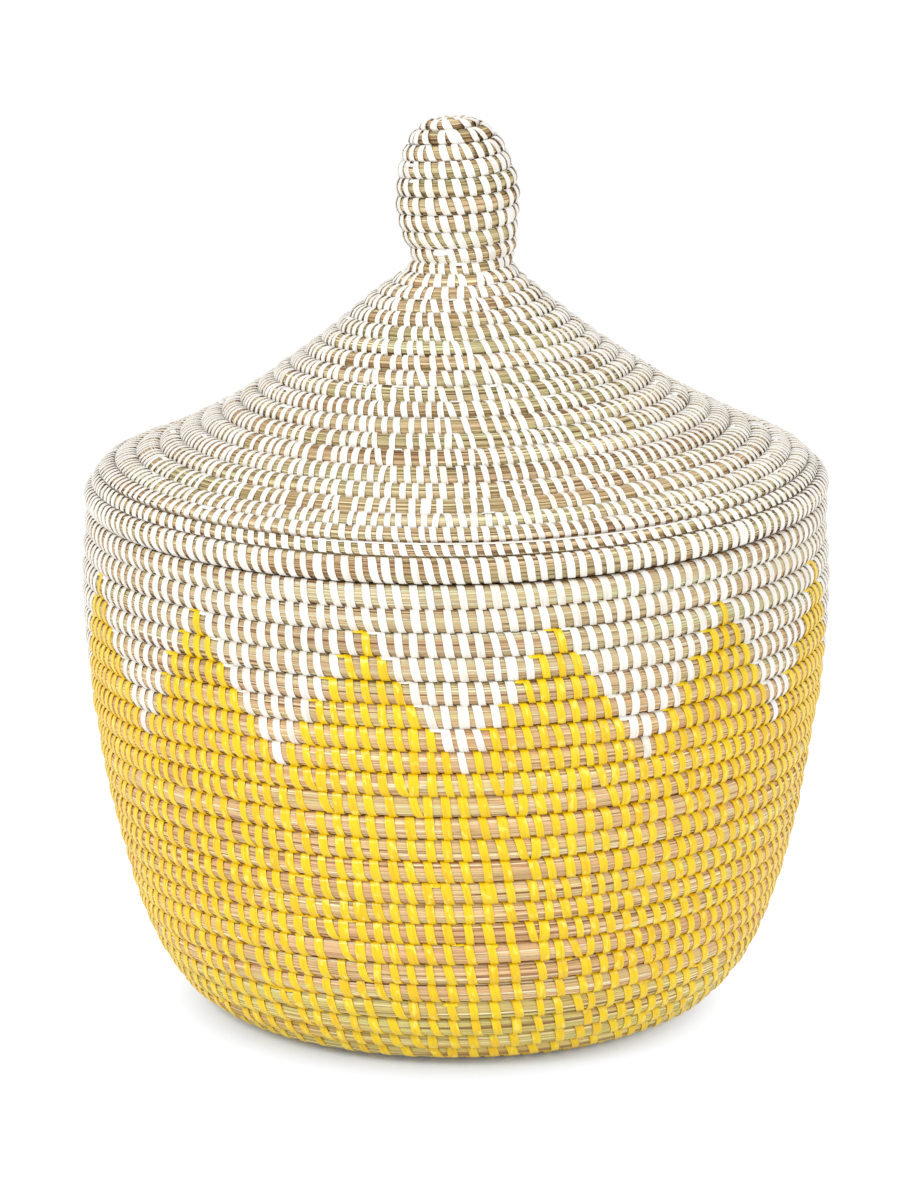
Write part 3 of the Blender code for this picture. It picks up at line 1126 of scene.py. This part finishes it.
def add_floor():
    """A pale floor. The camera sees it lifted to white, with only the soft shadow round the basket."""
    bpy.ops.object.select_all(action="DESELECT")
    bpy.ops.mesh.primitive_plane_add(size=FLOOR_SIZE, location=(0, 0, -FLOOR_DROP))
    floor = bpy.context.object
    floor.name = "floor"
    material, nodes, links, shader = new_material("white_floor", 0.9)
    shader.inputs["Base Color"].default_value = (0.92, 0.92, 0.92, 1)
    near = nodes.new("ShaderNodeBsdfPrincipled")
    near.inputs["Base Color"].default_value = (0.70, 0.78, 0.94, 1)
    near.inputs["Roughness"].default_value = 0.9
    near.inputs["Emission Color"].default_value = (1, 1, 1, 1)
    near.inputs["Emission Strength"].default_value = 0.10
    for plain in (shader, near):
        plain.inputs["Specular IOR Level"].default_value = 0
    far = nodes.new("ShaderNodeEmission")
    far.inputs["Color"].default_value = (1, 1, 1, 1)
    far.inputs["Strength"].default_value = 1.05
    place = nodes.new("ShaderNodeTexCoord")
    mapping = nodes.new("ShaderNodeMapping")
    mapping.inputs["Scale"].default_value = (FLOOR_FADE, FLOOR_FADE, FLOOR_FADE)
    mapping.inputs["Location"].default_value = FLOOR_FADE_PLACE
    fade = nodes.new("ShaderNodeTexGradient")
    fade.gradient_type = "SPHERICAL"
    links.new(place.outputs["Object"], mapping.inputs["Vector"])
    links.new(mapping.outputs["Vector"], fade.inputs["Vector"])
    reach = new_ramp(nodes, ((0.72, (0, 0, 0, 1)), (0.80, (1, 1, 1, 1))))
    reach.color_ramp.interpolation = "EASE"
    links.new(fade.outputs["Fac"], reach.inputs["Fac"])
    seen = nodes.new("ShaderNodeMixShader")
    links.new(reach.outputs["Color"], seen.inputs["Fac"])
    links.new(far.outputs["Emission"], seen.inputs[1])
    links.new(near.outputs["BSDF"], seen.inputs[2])
    mix = nodes.new("ShaderNodeMixShader")
    links.new(background_rays(nodes, links), mix.inputs["Fac"])
    links.new(shader.outputs["BSDF"], mix.inputs[1])
    links.new(seen.outputs["Shader"], mix.inputs[2])
    links.new(mix.outputs["Shader"], nodes["Material Output"].inputs["Surface"])
    floor.data.materials.append(material)


def add_light(name, location, size, power):
    """A square lamp that faces the basket."""
    light = bpy.data.lights.new(name, "AREA")
    light.shape = "SQUARE"
    light.size = size
    light.energy = power
    lamp = bpy.data.objects.new(name, light)
    lamp.location = location
    way = np.array(LAMP_TARGET) - np.array(location)
    flat = math.hypot(way[0], way[1])
    lamp.rotation_euler = (math.atan2(flat, -way[2]), 0, math.atan2(way[0], -way[1]) + math.pi)
    bpy.context.scene.collection.objects.link(lamp)


def add_world():
    """Even light from all round, with a white background."""
    world = bpy.data.worlds.new("studio")
    bpy.context.scene.world = world
    world.use_nodes = True
    nodes, links = world.node_tree.nodes, world.node_tree.links
    light = nodes["Background"]
    light.inputs["Color"].default_value = (1, 1, 1, 1)
    light.inputs["Strength"].default_value = WORLD_STRENGTH
    seen = nodes.new("ShaderNodeBackground")
    seen.inputs["Color"].default_value = (1, 1, 1, 1)
    seen.inputs["Strength"].default_value = 1
    mix = nodes.new("ShaderNodeMixShader")
    links.new(background_rays(nodes, links), mix.inputs["Fac"])
    links.new(light.outputs["Background"], mix.inputs[1])
    links.new(seen.outputs["Background"], mix.inputs[2])
    links.new(mix.outputs["Shader"], nodes["World Output"].inputs["Surface"])


def add_camera():
    """The photograph's view."""
    data = bpy.data.cameras.new("camera")
    data.sensor_width = 36
    data.lens = CAMERA_LENS
    data.shift_x = CAMERA_SHIFT
    camera = bpy.data.objects.new("camera", data)
    camera.location = CAMERA_PLACE
    camera.rotation_euler = (CAMERA_TILT, 0, 0)
    bpy.context.scene.collection.objects.link(camera)
    bpy.context.scene.camera = camera


add_floor()
add_world()
add_light("key", (-1.7, -1.8, 2.1), size=0.9, power=38)
add_light("fill", (1.8, -1.6, 1.2), size=1.6, power=17)
add_camera()
bpy.context.scene.view_settings.view_transform = "Standard"
